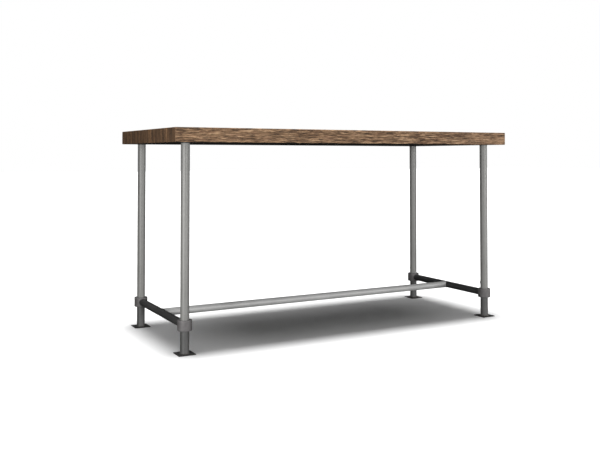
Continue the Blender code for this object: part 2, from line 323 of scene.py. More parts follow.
def wood_grain(tree, board, radius):
    """The patterns in a plank, by name. All are drawn out along X."""
    grain = {
        "streaks": tree.noise(tree.stretch(board, (12.0, 240.0, 240.0)), 5.0, 0.70, 0.25),
        "lines": tree.noise(tree.stretch(board, (15.0, 420.0, 420.0)), 4.0, 0.65),
        "broad": tree.noise(tree.stretch(board, (5.0, 48.0, 48.0)), 3.0, 0.55),
        "fibre": tree.noise(tree.stretch(board, (60.0, 1300.0, 1300.0)), 2.0, 0.6),
        "patches": tree.noise(tree.stretch(board, (1.9, 8.0, 8.0)), 3.0, 0.6),
    }
    rings = tree.plus(tree.times(radius, 210.0), tree.times(grain["streaks"], 1.4))
    grain["rings"] = tree.math("PINGPONG", rings, 1.0)
    pores = tree.noise(tree.stretch(board, (34.0, 330.0, 330.0)), 2.0, 0.5)
    grain["pores"] = tree.spread(pores, 0.36, 0.46, 1.0, 0.0)
    cells = tree.cells(tree.stretch(board, (3.4, 11.0, 11.0)))
    chosen = tree.spread(cells.outputs["Color"], 0.48, 0.54)
    grain["knots"] = tree.times(tree.spread(cells.outputs["Distance"], 0.05, 0.16, 1.0, 0.0), chosen)
    seams = tree.noise(tree.stretch(board, (3.0, 70.0, 70.0)), 2.0, 0.5, 0.2)
    checks = tree.crack(seams, 0.004, 0.014)
    grain["checks"] = tree.times(checks, tree.spread(grain["patches"], 0.46, 0.58))
    return grain


def wood_tone(tree, board, grain, end, middle_tone):
    """How light the wood is, from 0 to 1: long grain on the faces, sawn across at the ends."""
    tone = middle_tone
    for kind, weight in GRAIN_WEIGHTS.items():
        tone = tree.plus(tone, tree.swing(grain[kind], weight))
    sawn = tree.noise(tree.stretch(board, (1.0, 42.0, 4.0)), 5.0, 0.72)
    end_tone = tree.plus(tree.swing(sawn, 1.45), 0.385)
    end_tone = tree.plus(end_tone, tree.swing(grain["rings"], 0.08))
    return tree.plus(tone, tree.times(end, tree.minus(end_tone, tone)))


def wood_colour(tree, board, grain, tone, side):
    """A tone's colour, with redder and greyer parts, pores, knots, cracks and joints, and painted shade
    that turns the planks' downward faces nearly black.
    """
    colour = tree.ramp(tone, WOOD_TONES)
    red = tree.noise(tree.stretch(board, (12.0, 110.0, 110.0)), 3.0)
    colour = tree.mix(tree.spread(red, 0.54, 0.68, 0.0, 0.45), colour, (0.150, 0.072, 0.040))
    grey = tree.noise(tree.stretch(board, (4.0, 40.0, 40.0)), 3.0)
    colour = tree.mix(tree.spread(grey, 0.52, 0.74, 0.0, 0.16), colour, (0.145, 0.106, 0.066))
    for factor, amount, dark in (
        (grain["pores"], 0.60, (0.022, 0.012, 0.006)),
        (grain["knots"], 0.80, (0.026, 0.014, 0.008)),
        (grain["checks"], 0.85, (0.014, 0.009, 0.006)),
        (tree.times(tree.attribute("joint"), side), 0.95, (0.012, 0.008, 0.005)),
        # underside: painted shade, nearly black, on the planks' downward faces
        (tree.times(tree.attribute("underside"), side), 0.97, (0.003, 0.0025, 0.002)),
    ):
        colour = tree.mix(tree.times(factor, amount), colour, dark)
    return colour


def wood(name, seed, heart, middle_tone):
    """Weathered brown plank. heart is the Y and Z of the log's middle."""
    tree = Tree(name)
    board, radius = wood_board(tree, seed, heart)
    grain = wood_grain(tree, board, radius)
    end = tree.spread(tree.normal_part("X"), 0.5, 0.8)
    side = tree.minus(1.0, end)
    tone = wood_tone(tree, board, grain, end, middle_tone)
    tone = tree.plus(tone, tree.times(tree.times(tree.attribute("wear"), side), 0.05))
    colour = wood_colour(tree, board, grain, tone, side)
    height = tree.plus(tree.times(grain["streaks"], 0.9), tree.times(grain["fibre"], 0.25))
    height = tree.plus(height, tree.times(grain["rings"], 0.10))
    height = tree.minus(height, tree.times(grain["checks"], 0.9))
    height = tree.minus(height, tree.times(grain["knots"], 0.25))
    roughness = tree.spread(tone, 0.2, 0.8, 0.85, 0.62)
    return tree.finish(colour, roughness, 0.0, tree.bump(height, 0.7, 0.0010), 0.3)


def steel(name, dark, light, roughness, metallic, bump_strength=0.35):
    """Steel with soft clouds, drawing lines along its own Z, small pits and fine scratches."""
    tree = Tree(name)
    clouds = tree.noise(tree.stretch(tree.coord, (28.0, 28.0, 9.0)), 4.0, 0.6)
    lines = tree.noise(tree.stretch(tree.coord, (900.0, 900.0, 14.0)), 3.0, 0.55)
    pits = tree.noise(tree.stretch(tree.coord, (420.0, 420.0, 420.0)), 3.0, 0.6)
    spangle = tree.cells(tree.stretch(tree.coord, (110.0, 110.0, 110.0))).outputs["Color"]
    tone = tree.plus(tree.times(clouds, 0.62), tree.times(lines, 0.22))
    tone = tree.plus(tone, tree.times(spangle, 0.16))
    colour = tree.ramp(tone, [(0.30, dark), (0.70, light)])
    scratch = tree.noise(tree.stretch(tree.coord, (260.0, 260.0, 22.0)), 2.0, 0.5, 1.2)
    scratch = tree.crack(scratch, 0.0015, 0.006)
    colour = tree.mix(tree.times(scratch, 0.25), colour, light)
    height = tree.plus(tree.times(lines, 0.6), tree.times(pits, 0.4))
    height = tree.minus(height, tree.times(scratch, 0.4))
    rough = tree.spread(tone, 0.25, 0.75, roughness - 0.07, roughness + 0.09)
    return tree.finish(colour, rough, metallic, tree.bump(height, bump_strength, 0.00012))


def cast_iron(name):
    """Sand-cast iron: grainy, with smoother worn edges and a faint brown cast."""
    tree = Tree(name)
    grain = tree.noise(tree.stretch(tree.coord, (620.0, 620.0, 620.0)), 4.0, 0.65)
    lumps = tree.noise(tree.stretch(tree.coord, (120.0, 120.0, 120.0)), 3.0, 0.5)
    clouds = tree.noise(tree.stretch(tree.coord, (35.0, 35.0, 35.0)), 3.0, 0.6)
    tone = tree.plus(tree.times(clouds, 0.6), tree.times(grain, 0.4))
    colour = tree.ramp(tone, [(0.30, (0.078, 0.074, 0.074)), (0.72, (0.148, 0.141, 0.141))])
    rust = tree.noise(tree.stretch(tree.coord, (70.0, 70.0, 70.0)), 4.0, 0.7)
    rust = tree.spread(rust, 0.60, 0.74, 0.0, 0.30)
    colour = tree.mix(rust, colour, (0.135, 0.075, 0.045))
    height = tree.plus(tree.times(grain, 0.8), tree.times(lumps, 0.9))
    rough = tree.spread(grain, 0.3, 0.7, 0.52, 0.74)
    return tree.finish(colour, rough, 0.30, tree.bump(height, 0.8, 0.0006))


def plate_paint(name):
    """Near-black satin paint on a flame-cut plate, with scuffs to bare steel."""
    tree = Tree(name)
    skin = tree.noise(tree.stretch(tree.coord, (300.0, 300.0, 300.0)), 3.0, 0.5)
    clouds = tree.noise(tree.stretch(tree.coord, (25.0, 25.0, 25.0)), 3.0, 0.6)
    colour = tree.ramp(clouds, [(0.30, (0.012, 0.012, 0.012)), (0.72, (0.026, 0.025, 0.024))])
    scuff = tree.noise(tree.stretch(tree.coord, (60.0, 220.0, 120.0)), 4.0, 0.7, 0.8)
    scuff = tree.spread(scuff, 0.66, 0.74)
    colour = tree.mix(tree.times(scuff, 0.45), colour, (0.10, 0.098, 0.095))
    rough = tree.spread(skin, 0.3, 0.7, 0.60, 0.76)
    height = tree.minus(tree.times(skin, 0.7), tree.times(scuff, 0.5))
    return tree.finish(colour, rough, 0.0, tree.bump(height, 0.4, 0.0002), 0.25)


def weld_metal(name):
    """The bead of a weld: dark scale with brighter ripples and a straw and blue heat tint."""
    tree = Tree(name)
    ripple = tree.noise(tree.stretch(tree.coord, (700.0, 700.0, 700.0)), 3.0, 0.6)
    tint = tree.noise(tree.stretch(tree.coord, (160.0, 160.0, 160.0)), 3.0, 0.6)
    stops = [
        (0.30, (0.040, 0.039, 0.040)),
        (0.48, (0.075, 0.072, 0.069)),
        (0.60, (0.095, 0.082, 0.068)),
        (0.75, (0.052, 0.055, 0.066)),
    ]
    colour = tree.ramp(tint, stops)
    rough = tree.spread(ripple, 0.3, 0.7, 0.38, 0.62)
    return tree.finish(colour, rough, 0.6, tree.bump(ripple, 0.5, 0.0003))


def nylon(name):
    """Black moulded nylon: a fine pebbled skin with faint turning lines."""
    tree = Tree(name)
    pebble = tree.noise(tree.stretch(tree.coord, (900.0, 900.0, 900.0)), 3.0, 0.6)
    lines = tree.noise(tree.stretch(tree.coord, (20.0, 20.0, 1800.0)), 2.0, 0.5)
    colour = tree.ramp(pebble, [(0.30, (0.020, 0.020, 0.021)), (0.72, (0.042, 0.042, 0.044))])
    height = tree.plus(tree.times(pebble, 0.6), tree.times(lines, 0.6))
    rough = tree.spread(pebble, 0.3, 0.7, 0.48, 0.62)
    return tree.finish(colour, rough, 0.0, tree.bump(height, 0.4, 0.0002), 0.4)


LIGHT_STEEL = steel("light_steel", (0.140, 0.139, 0.131), (0.199, 0.197, 0.189), 0.48, 0.14)
# Painted light: the long rail's steel is a lighter copy of the rails' one steel, lit as where it faces
# the front lights
LONG_RAIL_LIT = steel("long_rail_painted_lit", (0.300, 0.300, 0.296), (0.400, 0.400, 0.394), 0.50, 0.10)
POST_STEEL = steel("post_steel", (0.250, 0.250, 0.246), (0.340, 0.340, 0.333), 0.36, 0.55)
DARK_STEEL = steel("dark_steel", (0.053, 0.053, 0.051), (0.078, 0.078, 0.076), 0.50, 0.12)
# Painted shade: the side rails' steel is a near-black copy of the rails' one steel, dark as on their
# shaded sides
SIDE_RAIL_SHADED = steel("side_rail_painted_shade", (0.026, 0.026, 0.026), (0.043, 0.043, 0.042), 0.52, 0.10)
SCREW_STEEL = steel("screw_steel", (0.050, 0.050, 0.052), (0.110, 0.110, 0.112), 0.36, 0.80, 0.5)
CAST_IRON = cast_iron("cast_iron")
PLATE_PAINT = plate_paint("plate_paint")
WELD_METAL = weld_metal("weld_metal")
NYLON = nylon("nylon")


# ---------- Meshes ----------


def piece(name, form, material, body, replaces=(), place=None):
    """Makes a bmesh into a finished piece that rides on a body."""
    mesh = bpy.data.meshes.new(name)
    bmesh.ops.recalc_face_normals(form, faces=form.faces)
    form.to_mesh(mesh)
    form.free()
    mesh.shade_smooth()
    mesh.set_sharp_from_angle(angle=math.radians(SHARP_ANGLE))
    mesh.materials.append(material)
    obj = bpy.data.objects.new(name, mesh)
    bpy.context.scene.collection.objects.link(obj)
    if place is not None:
        obj.matrix_world = place
    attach(obj, body)
    if replaces:
        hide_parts(*replaces)
    return obj


def rounded(points, steps=4):
    """A closed outline of (u, v, fillet radius) corners, with each corner turned into an arc."""
    outline = []
    count = len(points)
    for index, (u, v, radius) in enumerate(points):
        corner = Vector((u, v))
        if radius <= 0:
            outline.append(corner)
            continue
        back = (Vector(points[index - 1][:2]) - corner).normalized()
        ahead = (Vector(points[(index + 1) % count][:2]) - corner).normalized()
        half = back.angle(ahead) / 2
        reach = radius / math.tan(half)
        middle = corner + (back + ahead).normalized() * (radius / math.sin(half))
        start = corner + back * reach - middle
        end = corner + ahead * reach - middle
        for step in range(steps + 1):
            outline.append(middle + start.slerp(end, step / steps) * radius)
    return outline


def revolve(outline, segments=ROUND, closed=True):
    """A bmesh of an outline of (radius, height) points turned about Z."""
    form = bmesh.new()
    verts = [form.verts.new((radius, 0.0, height)) for radius, height in outline]
    edges = [form.edges.new(pair) for pair in zip(verts, verts[1:])]
    if closed:
        edges.append(form.edges.new((verts[-1], verts[0])))
    bmesh.ops.spin(
        form, geom=verts + edges, cent=(0, 0, 0), axis=(0, 0, 1), angle=2 * math.pi, steps=segments
    )
    bmesh.ops.remove_doubles(form, verts=form.verts, dist=1e-6)
    return form


def levels(low, high, count):
    """Heights strictly between two ends, evenly spaced."""
    return [low + (high - low) * step / count for step in range(1, count)]


def tube_form(outer, wall, low, high, rows=24):
    """A round tube along Z with softened rims."""
    inner = outer - wall
    corners = [(outer, high), (outer, low), (inner, low), (inner, high)]
    outline = rounded([(*corner, TUBE_RIM) for corner in corners], 3)
    cut = len(outline) // 4
    between = [Vector((outer, height)) for height in levels(high - TUBE_RIM, low + TUBE_RIM, rows)]
    outline[cut:cut] = between
    return revolve(outline)


def box_form(size, centre):
    """A plain box, for cutters."""
    form = bmesh.new()
    bmesh.ops.create_cube(form, size=1.0, matrix=Matrix.Translation(centre) @ Matrix.Diagonal((*size, 1)))
    return form


def cylinder_form(radius, start, end, segments=FINE_ROUND, far_radius=None):
    """A cylinder or cone from one point to another, for cutters."""
    form = bmesh.new()
    run = Vector(end) - Vector(start)
    turn = run.to_track_quat("Z", "Y").to_matrix().to_4x4()
    place = Matrix.Translation((Vector(start) + Vector(end)) / 2) @ turn
    bmesh.ops.create_cone(
        form,
        cap_ends=True,
        radius1=radius,
        radius2=radius if far_radius is None else far_radius,
        depth=run.length,
        segments=segments,
        matrix=place,
    )
    return form


def carve(form, cutters, solver="EXACT"):
    """The bmesh less each cutter bmesh, cut with Booleans."""
    made = []
    for number, shape in enumerate([form, *cutters]):
        mesh = bpy.data.meshes.new(f"carve_{number}")
        bmesh.ops.recalc_face_normals(shape, faces=shape.faces)
        shape.to_mesh(mesh)
        shape.free()
        obj = bpy.data.objects.new(f"carve_{number}", mesh)
        bpy.context.scene.collection.objects.link(obj)
        made.append(obj)
    body, tools = made[0], made[1:]
    for tool in tools:
        modifier = body.modifiers.new(tool.name, "BOOLEAN")
        modifier.object = tool
        modifier.operation = "DIFFERENCE"
        modifier.solver = solver
    bpy.context.view_layer.update()
    graph = bpy.context.evaluated_depsgraph_get()
    result = bmesh.new()
    result.from_mesh(bpy.data.meshes.new_from_object(body.evaluated_get(graph)))
    for obj in made:
        bpy.data.objects.remove(obj)
    return result


def plate_form(side, thickness, edge):
    """A square plate round the origin, from Z 0 up, with round corners and softened edges."""
    half = side / 2
    square = [(x * half, y * half, PLATE_CORNER) for x, y in ((1, 1), (-1, 1), (-1, -1), (1, -1))]
    outline = rounded(square, 6)
    lower_edge = [(0, edge), (edge * 0.3, edge * 0.3), (edge, 0)]
    upper_edge = [(thickness - height, inset) for height, inset in reversed(lower_edge)]
    form = bmesh.new()
    rings = []
    for height, inset in lower_edge + upper_edge:
        scale = 1 - inset / half
        rings.append([form.verts.new((p.x * scale, p.y * scale, height)) for p in outline])
    for lower, upper in zip(rings, rings[1:]):
        for index in range(len(outline)):
            after = (index + 1) % len(outline)
            form.faces.new((lower[index], lower[after], upper[after], upper[index]))
    form.faces.new(reversed(rings[0]))
    form.faces.new(rings[-1])
    return form


def circle(radius, count):
    """The two coordinates of points evenly spaced round a circle."""
    turns = [2 * math.pi * step / count for step in range(count)]
    return [(radius * math.cos(turn), radius * math.sin(turn)) for turn in turns]


def bead_form(path, width, ripples):
    """A weld bead along a closed path of points: a round section that swells once for each ripple."""
    form = bmesh.new()
    count = len(path)
    middle = sum(path, Vector()) / count
    rings = []
    for index, point in enumerate(path):
        along = (path[(index + 1) % count] - path[index - 1]).normalized()
        out = point - middle
        out = (out - along * out.dot(along)).normalized()
        up = along.cross(out)
        phase = (index * ripples / count) % 1.0
        swell = width * (0.86 + 0.22 * math.sin(math.pi * phase) ** 0.7)
        section = circle(swell, BEAD_SIDES)
        rings.append([form.verts.new(point + out * away + up * rise) for away, rise in section])
    for index in range(count):
        ring, after = rings[index], rings[(index + 1) % count]
        for side in range(BEAD_SIDES):
            beside = (side + 1) % BEAD_SIDES
            form.faces.new((ring[side], ring[beside], after[beside], after[side]))
    return form


def ring_path(radius, height):
    """A level circle of points round Z."""
    return [Vector((across, up, height)) for across, up in circle(radius, BEAD_POINTS)]


def socket_screw_form(radius, length, across):
    """A set screw from its tip at Z 0, with a chamfered head and a hexagon socket."""
    edge = radius * 0.12
    outline = [
        Vector((0.0, length)),
        Vector((radius - edge * 0.6, length)),
        Vector((radius, length - edge * 0.6)),
        Vector((radius, edge * 2)),
        Vector((radius - edge * 2, 0.0)),
        Vector((0.0, 0.0)),
    ]
    form = revolve(outline, FINE_ROUND, closed=False)
    depth = min(length * 0.45, across)
    socket = cylinder_form(across / math.sqrt(3), (0, 0, length - depth), (0, 0, length + depth), 6)
    flare = cylinder_form(
        across * 0.50, (0, 0, length - across * 0.08), (0, 0, length + across * 0.12), 24, across * 0.70
    )
    return carve(form, [socket, flare])


# ---------- The top ----------

PLANK_ARRIS = 0.0022
PLANK_END_ARRIS = 0.0026
JOINT_ARRIS = 0.0020
JOINT_OPENING = 0.00004
RELIEF = 0.0007
FRONT_PLANK_TONE = 0.52


def plank_stations(low, high):
    """Places along a plank: crowded round the two ends' arrises and even between them."""
    arris = [PLANK_END_ARRIS * (1 - math.cos(math.pi / 2 * step / 4)) for step in range(4)]
    inner_low, inner_high = low + PLANK_END_ARRIS, high - PLANK_END_ARRIS
    count = round((inner_high - inner_low) / PLANK_STEP)
    even = [inner_low + (inner_high - inner_low) * step / count for step in range(count + 1)]
    return [low + d for d in arris] + even + [high - d for d in reversed(arris)]


def end_inset(distance):
    """How far the faces draw in where they round over into a plank's end."""
    if distance >= PLANK_END_ARRIS:
        return 0.0
    over = PLANK_END_ARRIS - distance
    return PLANK_END_ARRIS - math.sqrt(max(PLANK_END_ARRIS**2 - over**2, 0.0))


class Rim:
    """A point of a plank's outline and how it moves: place, outward way, inset way and shares."""

    def __init__(self, place, out, pull, inset=1.0, relief=1.0, edge=0.0, joint=0.0):
        self.place = Vector(place)
        self.out = Vector(out)
        self.pull = Vector(pull)
        self.inset = inset
        self.relief = relief
        self.edge = edge
        self.joint = joint


def corner_arc(y, z, way, first, joint):
    """The round arris at a section's corner. way points out of the corner along both axes.

    At a joint the arris is smaller, and the side that meets the next plank stays in place.
    """
    radius = JOINT_ARRIS if joint else PLANK_ARRIS
    pull = (way[0] * 0.4, way[1]) if joint else way
    pivot = Vector((y, z)) - Vector(way) * radius
    arc = []
    for step in range(6):
        turn = math.radians(first + 90.0 * step / 5)
        out = Vector((math.cos(turn), math.sin(turn)))
        relief = abs(out.y) if joint else 1.0
        arc.append(Rim(pivot + out * radius, out, pull, relief=relief, edge=1.0, joint=joint))
    return arc


def flat_run(start, end, count, out, relief=1.0):
    """Points on a flat face between two others, without those two."""
    places = [start.place.lerp(end.place, step / count) for step in range(1, count)]
    return [Rim(place, out, out, relief=relief) for place in places]


def plank_outline(y_low, y_high, z_low, z_high, tongue, groove):
    """The points round a plank's section, counterclockwise as seen from +X."""
    middle = (z_low + z_high) / 2
    half_tongue = TONGUE_THICKNESS / 2
    half_groove = half_tongue + GAP
    top_right = corner_arc(y_high, z_high, (1, 1), 0.0, float(tongue))
    top_left = corner_arc(y_low, z_high, (-1, 1), 90.0, float(groove))
    bottom_left = corner_arc(y_low, z_low, (-1, -1), 180.0, float(groove))
    bottom_right = corner_arc(y_high, z_low, (1, -1), 270.0, float(tongue))
    outline = top_right + flat_run(top_right[-1], top_left[0], 34, (0, 1)) + top_left
    if groove:
        floor_y = y_low + TONGUE_REACH + GAP
        for y, z, inset in (
            (y_low, middle + half_groove, 1.0),
            (floor_y, middle + half_groove, 0.0),
            (floor_y, middle - half_groove, 0.0),
            (y_low, middle - half_groove, 1.0),
        ):
            outline.append(Rim((y, z), (-1, 0), (-0.4, 0), inset, 0.0, joint=1.0))
    else:
        outline += flat_run(top_left[-1], bottom_left[0], 18, (-1, 0))
    outline += bottom_left + flat_run(bottom_left[-1], bottom_right[0], 20, (0, -1), 0.6) + bottom_right
    if tongue:
        tip_y = y_high + TONGUE_REACH
        for y, z, inset in (
            (y_high, middle - half_tongue, 1.0),
            (tip_y, middle - half_tongue, 0.5),
            (tip_y, middle + half_tongue, 0.5),
            (y_high, middle + half_tongue, 1.0),
        ):
            outline.append(Rim((y, z), (1, 0), (0.4, 0), inset, 0.0, joint=1.0))
    else:
        outline += flat_run(bottom_right[-1], top_right[0], 18, (1, 0))
    return outline


def relief_at(x, point, seed):
    """How deep the hand-worn face lies below its true plane, from 0 to RELIEF."""
    slow = noise.noise(Vector((x * 3.0, point.x * 14.0, point.y * 14.0 + seed * 9.0)))
    grain = noise.noise(Vector((x * 9.0, point.x * 110.0 + seed * 5.0, point.y * 110.0)))
    return RELIEF * (0.5 + 0.33 * slow + 0.17 * grain)


def chip_at(x, point, seed):
    """Extra loss along a worn arris, which comes and goes along the plank."""
    value = noise.noise(Vector((x * 16.0, seed * 7.0 + point.x * 4.0, point.y * 4.0)))
    value += 0.5 * noise.noise(Vector((x * 55.0, seed * 3.0, point.x * 9.0)))
    return min(max(value - 0.16, 0.0) * 0.0036, PLANK_ARRIS * 0.6)


def flange_pockets(y_low, y_high):
    """Cutters for the leg flanges that are let into a plank's underside."""
    pockets = []
    for corner in CORNERS:
        low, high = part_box(f"leg_flange_{corner}")
        if y_low < low.y and high.y < y_high:
            thickness = high.z - low.z
            size = (high - low) + Vector((2 * GAP, 2 * GAP, 2 * GAP + thickness))
            middle = (low + high) / 2 - Vector((0, 0, thickness / 2))
            pockets.append(box_form(size, middle))
    return pockets


def plank_skin(low, high, outline, seed):
    """A plank's surface: its outline at each station, worn and uneven, and its two ends."""
    form = bmesh.new()
    layers = {kind: form.verts.layers.float.new(kind) for kind in ("wear", "underside", "joint")}
    rings = []
    for x in plank_stations(low.x, high.x):
        inset = end_inset(min(x - low.x, high.x - x))
        ring = []
        for rim in outline:
            loss = inset * rim.inset + rim.relief * relief_at(x, rim.place, seed)
            chip = rim.edge * chip_at(x, rim.place, seed) if rim.edge else 0.0
            place = rim.place - rim.pull * loss - rim.out * chip
            vert = form.verts.new((x, place.x, place.y))
            vert[layers["wear"]] = max(rim.edge, 1.0 if inset > 0 else 0.0)
            # underside marks the downward faces that get the painted shade in wood_colour
            vert[layers["underside"]] = min(max(-1.4 * rim.out.y, 0.0), 1.0)
            vert[layers["joint"]] = rim.joint
            ring.append(vert)
        rings.append(ring)
    count = len(outline)
    for ring, after in zip(rings, rings[1:]):
        for index in range(count):
            beside = (index + 1) % count
            form.faces.new((ring[index], ring[beside], after[beside], after[index]))
    form.faces.new(rings[0])
    form.faces.new(reversed(rings[-1]))
    return form


def plank_wood(number, seed, centre_y, bottom):
    """Each plank is cut from its own place in a log and has its own tone."""
    draw = random.Random(number)
    heart_y = centre_y + draw.choice((-1, 1)) * draw.uniform(0.03, 0.22)
    heart_z = bottom + draw.uniform(-0.10, 0.05)
    middle_tone = FRONT_PLANK_TONE if number == 1 else draw.uniform(0.45, 0.57)
    return wood(f"reclaimed_wood_{number}", seed, (heart_y, heart_z), middle_tone)


def make_plank(name, number, y_low, y_high):
    """One weathered plank with its tongue and groove."""
    low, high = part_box(name)
    seed = number * 1.37
    tongue, groove = number < len(PLANKS), number > 1
    outline = plank_outline(y_low, y_high, low.z, high.z, tongue, groove)
    form = plank_skin(low, high, outline, seed)
    pockets = flange_pockets(y_low, y_high)
    if pockets:
        form = carve(form, pockets, "FAST")
    material = plank_wood(number, seed, (y_low + y_high) / 2, low.z)
    plank = piece(name + "_boards", form, material, "desk_top", [name])
    for face in plank.data.polygons:
        if abs(face.normal.x) > 0.99:
            face.use_smooth = False


def make_top():
    """All the planks. A plank ends just short of where the next one begins."""
    starts = [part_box(name)[0].y for name in PLANKS]
    ends = [start - JOINT_OPENING for start in starts[1:]] + [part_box(PLANKS[-1])[1].y]
    for number, (name, start, end) in enumerate(zip(PLANKS, starts, ends), 1):
        make_plank(name, number, start, end)


# ---------- The legs and the base ----------


def leg_axis(corner, height=0.0):
    """The matrix that puts a piece, built round Z, on a corner's leg axis."""
    middle = centre_of(f"leg_tube_{corner}")
    return Matrix.Translation((middle.x, middle.y, height))


def make_tube(node, outer, wall, body, material, corner):
    """A CAD tube along a leg's axis, made again with soft rims and a fine round."""
    low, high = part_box(node)
    form = tube_form(outer, wall, low.z, high.z)
    piece(node + "_drawn", form, material, body, [node], leg_axis(corner))


def make_base_plate(corner):
    """The square plate on the floor, and the weld that holds the foot tube on it."""
    node = f"base_plate_{corner}"
    low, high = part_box(node)
    form = plate_form(high.x - low.x, high.z - low.z, PLATE_EDGE)
    piece(node + "_cut", form, PLATE_PAINT, "base", [node], leg_axis(corner, low.z))
    bead = bead_form(ring_path(LEG_RADIUS + FOOT_WELD * 0.15, high.z), FOOT_WELD, 30)
    piece(f"foot_weld_{corner}", bead, WELD_METAL, "base", place=leg_axis(corner))


def make_leg_flange(corner):
    """The plate under the planks, its weld to the leg tube and its four wood screws."""
    node = f"leg_flange_{corner}"
    low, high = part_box(node)
    thickness = high.z - low.z
    form = plate_form(high.x - low.x, thickness, FLANGE_EDGE)
    cutters = []
    pitch = FLANGE_HOLE_PITCH / 2
    spots = [(sx * pitch, sy * pitch) for sx, sy in CORNERS.values()]
    for x, y in spots:
        hole = cylinder_form(FLANGE_HOLE_RADIUS, (x, y, -thickness), (x, y, 2 * thickness), 32)
        start, end = (x, y, -0.0001), (x, y, COUNTERSINK_DEPTH)
        cutters += [hole, cylinder_form(COUNTERSINK_RADIUS, start, end, 32, COUNTERSINK_TIP)]
    form = carve(form, cutters)
    piece(node + "_cut", form, PLATE_PAINT, "desk_top", [node], leg_axis(corner, low.z))
    bead = bead_form(ring_path(LEG_RADIUS + 0.0002, low.z), FLANGE_WELD, 34)
    piece(f"flange_weld_{corner}", bead, WELD_METAL, "desk_top", place=leg_axis(corner))
    for number, (x, y) in enumerate(spots, 1):
        screw = wood_screw_form()
        flip = Matrix.Rotation(math.pi, 4, "X")
        place = leg_axis(corner, low.z + 0.0002) @ Matrix.Translation((x, y, 0)) @ flip
        name = f"wood_screw_{corner}_{number}"
        piece(name, screw, SCREW_STEEL, "desk_top", place=place)


def wood_screw_form():
    """A countersunk screw, head up at Z 0, whose shank runs down, with a hexagon socket."""
    outline = [
        Vector((0.0, 0.0)),
        Vector((WOOD_SCREW_HEAD * 0.94, 0.0)),
        Vector((WOOD_SCREW_HEAD, -0.0003)),
        Vector((WOOD_SCREW_SHANK, -WOOD_SCREW_HEAD_HEIGHT)),
        Vector((WOOD_SCREW_SHANK, -WOOD_SCREW_REACH * 0.8)),
        Vector((0.0, -WOOD_SCREW_REACH)),
    ]
    form = revolve(outline, FINE_ROUND, closed=False)
    socket = cylinder_form(0.0020, (0, 0, -0.0016), (0, 0, 0.001), 6)
    return carve(form, [socket])


def collar_form(corner):
    """A cast collar round Z, with its stretcher socket and its two screw holes cut in."""
    inward_x, inward_y = (-sign for sign in CORNERS[corner])
    low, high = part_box(f"collar_{corner}")
    inner = LEG_RADIUS + GAP
    corners = [
        (COLLAR_RADIUS, high.z, COLLAR_FILLET),
        (COLLAR_RADIUS, low.z, COLLAR_FILLET),
        (inner, low.z, COLLAR_BORE_EDGE),
        (inner, high.z, COLLAR_BORE_EDGE),
    ]
    outline = rounded(corners, 5)
    heights = levels(high.z - COLLAR_FILLET, low.z + COLLAR_FILLET, 14)
    outline[6:6] = [Vector((COLLAR_RADIUS, height)) for height in heights]
    screw = f"collar_screw_{corner}"
    screw_hole = size_of(screw).z / 2 + GAP
    screw_level = centre_of(screw).z
    lower_hole = size_of(f"stretcher_screw_{corner}").x / 2 + GAP
    lower_y = inward_y * RAIL_SCREW_RADIUS
    socket_start = (0, inward_y * SOCKET_FLOOR, RAIL_LEVEL)
    cutters = [
        cylinder_form(RAIL_RADIUS + GAP, socket_start, (0, inward_y * CUTTER_REACH, RAIL_LEVEL), ROUND),
        cylinder_form(screw_hole, (inward_x * 0.015, 0, screw_level), (inward_x * 0.05, 0, screw_level)),
        cylinder_form(lower_hole, (0, lower_y, low.z - 0.01), (0, lower_y, RAIL_LEVEL)),
    ]
    return carve(revolve(outline), cutters)


def make_set_screw(node, body, radius, length, tip, turn):
    """A socket set screw with its tip at a point; its head is along the turned Z."""
    form = socket_screw_form(radius, length, radius)
    place = Matrix.Translation(tip) @ turn
    piece(node + "_socketed", form, SCREW_STEEL, body, [node], place)


def make_collar(corner):
    """The collar, the screw that holds it on the leg and the screw that holds the side rail."""
    node = f"collar_{corner}"
    piece(node + "_cast", collar_form(corner), CAST_IRON, "base", [node], leg_axis(corner))
    side_x = CORNERS[corner][0]
    screw = f"collar_screw_{corner}"
    low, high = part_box(screw)
    middle = centre_of(screw)
    tip = Vector((high.x if side_x > 0 else low.x, middle.y, middle.z))
    turn = Matrix.Rotation(-side_x * math.pi / 2, 4, "Y")
    make_set_screw(screw, "base", (high.y - low.y) / 2, high.x - low.x, tip, turn)
    screw = f"stretcher_screw_{corner}"
    low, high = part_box(screw)
    middle = centre_of(screw)
    tip = Vector((middle.x, middle.y, high.z))
    turn = Matrix.Rotation(math.pi, 4, "X")
    make_set_screw(screw, "base", (high.y - low.y) / 2, high.z - low.z, tip, turn)


def make_boss(corner, screw_radius):
    """The boss on the back of the leg tube, and its weld."""
    node = f"lock_boss_{corner}"
    low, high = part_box(node)
    radius = (high.z - low.z) / 2
    turn = Matrix.Rotation(-math.pi / 2, 4, "X")
    place = leg_axis(corner, centre_of(node).z) @ turn
    reach = high.y - centre_of(f"leg_tube_{corner}").y
    corners = [
        (radius, reach, 0.0009),
        (radius, BOSS_START, 0.0),
        (screw_radius + GAP, BOSS_START, 0.0),
        (screw_radius + GAP, reach, 0.0005),
    ]
    form = revolve(rounded(corners, 4), FINE_ROUND)
    saddle = cylinder_form(LEG_RADIUS + GAP, (0, -0.02, 0), (0, 0.02, 0), ROUND)
    form = carve(form, [saddle])
    piece(node + "_turned", form, LIGHT_STEEL, "desk_top", [node], place)
    path = []
    for across, up in circle(radius, 240):
        path.append(Vector((across, up, math.sqrt(LEG_RADIUS**2 - across**2))))
    bead = bead_form(path, BOSS_WELD, 20)
    piece(f"boss_weld_{corner}", bead, WELD_METAL, "desk_top", place=place)


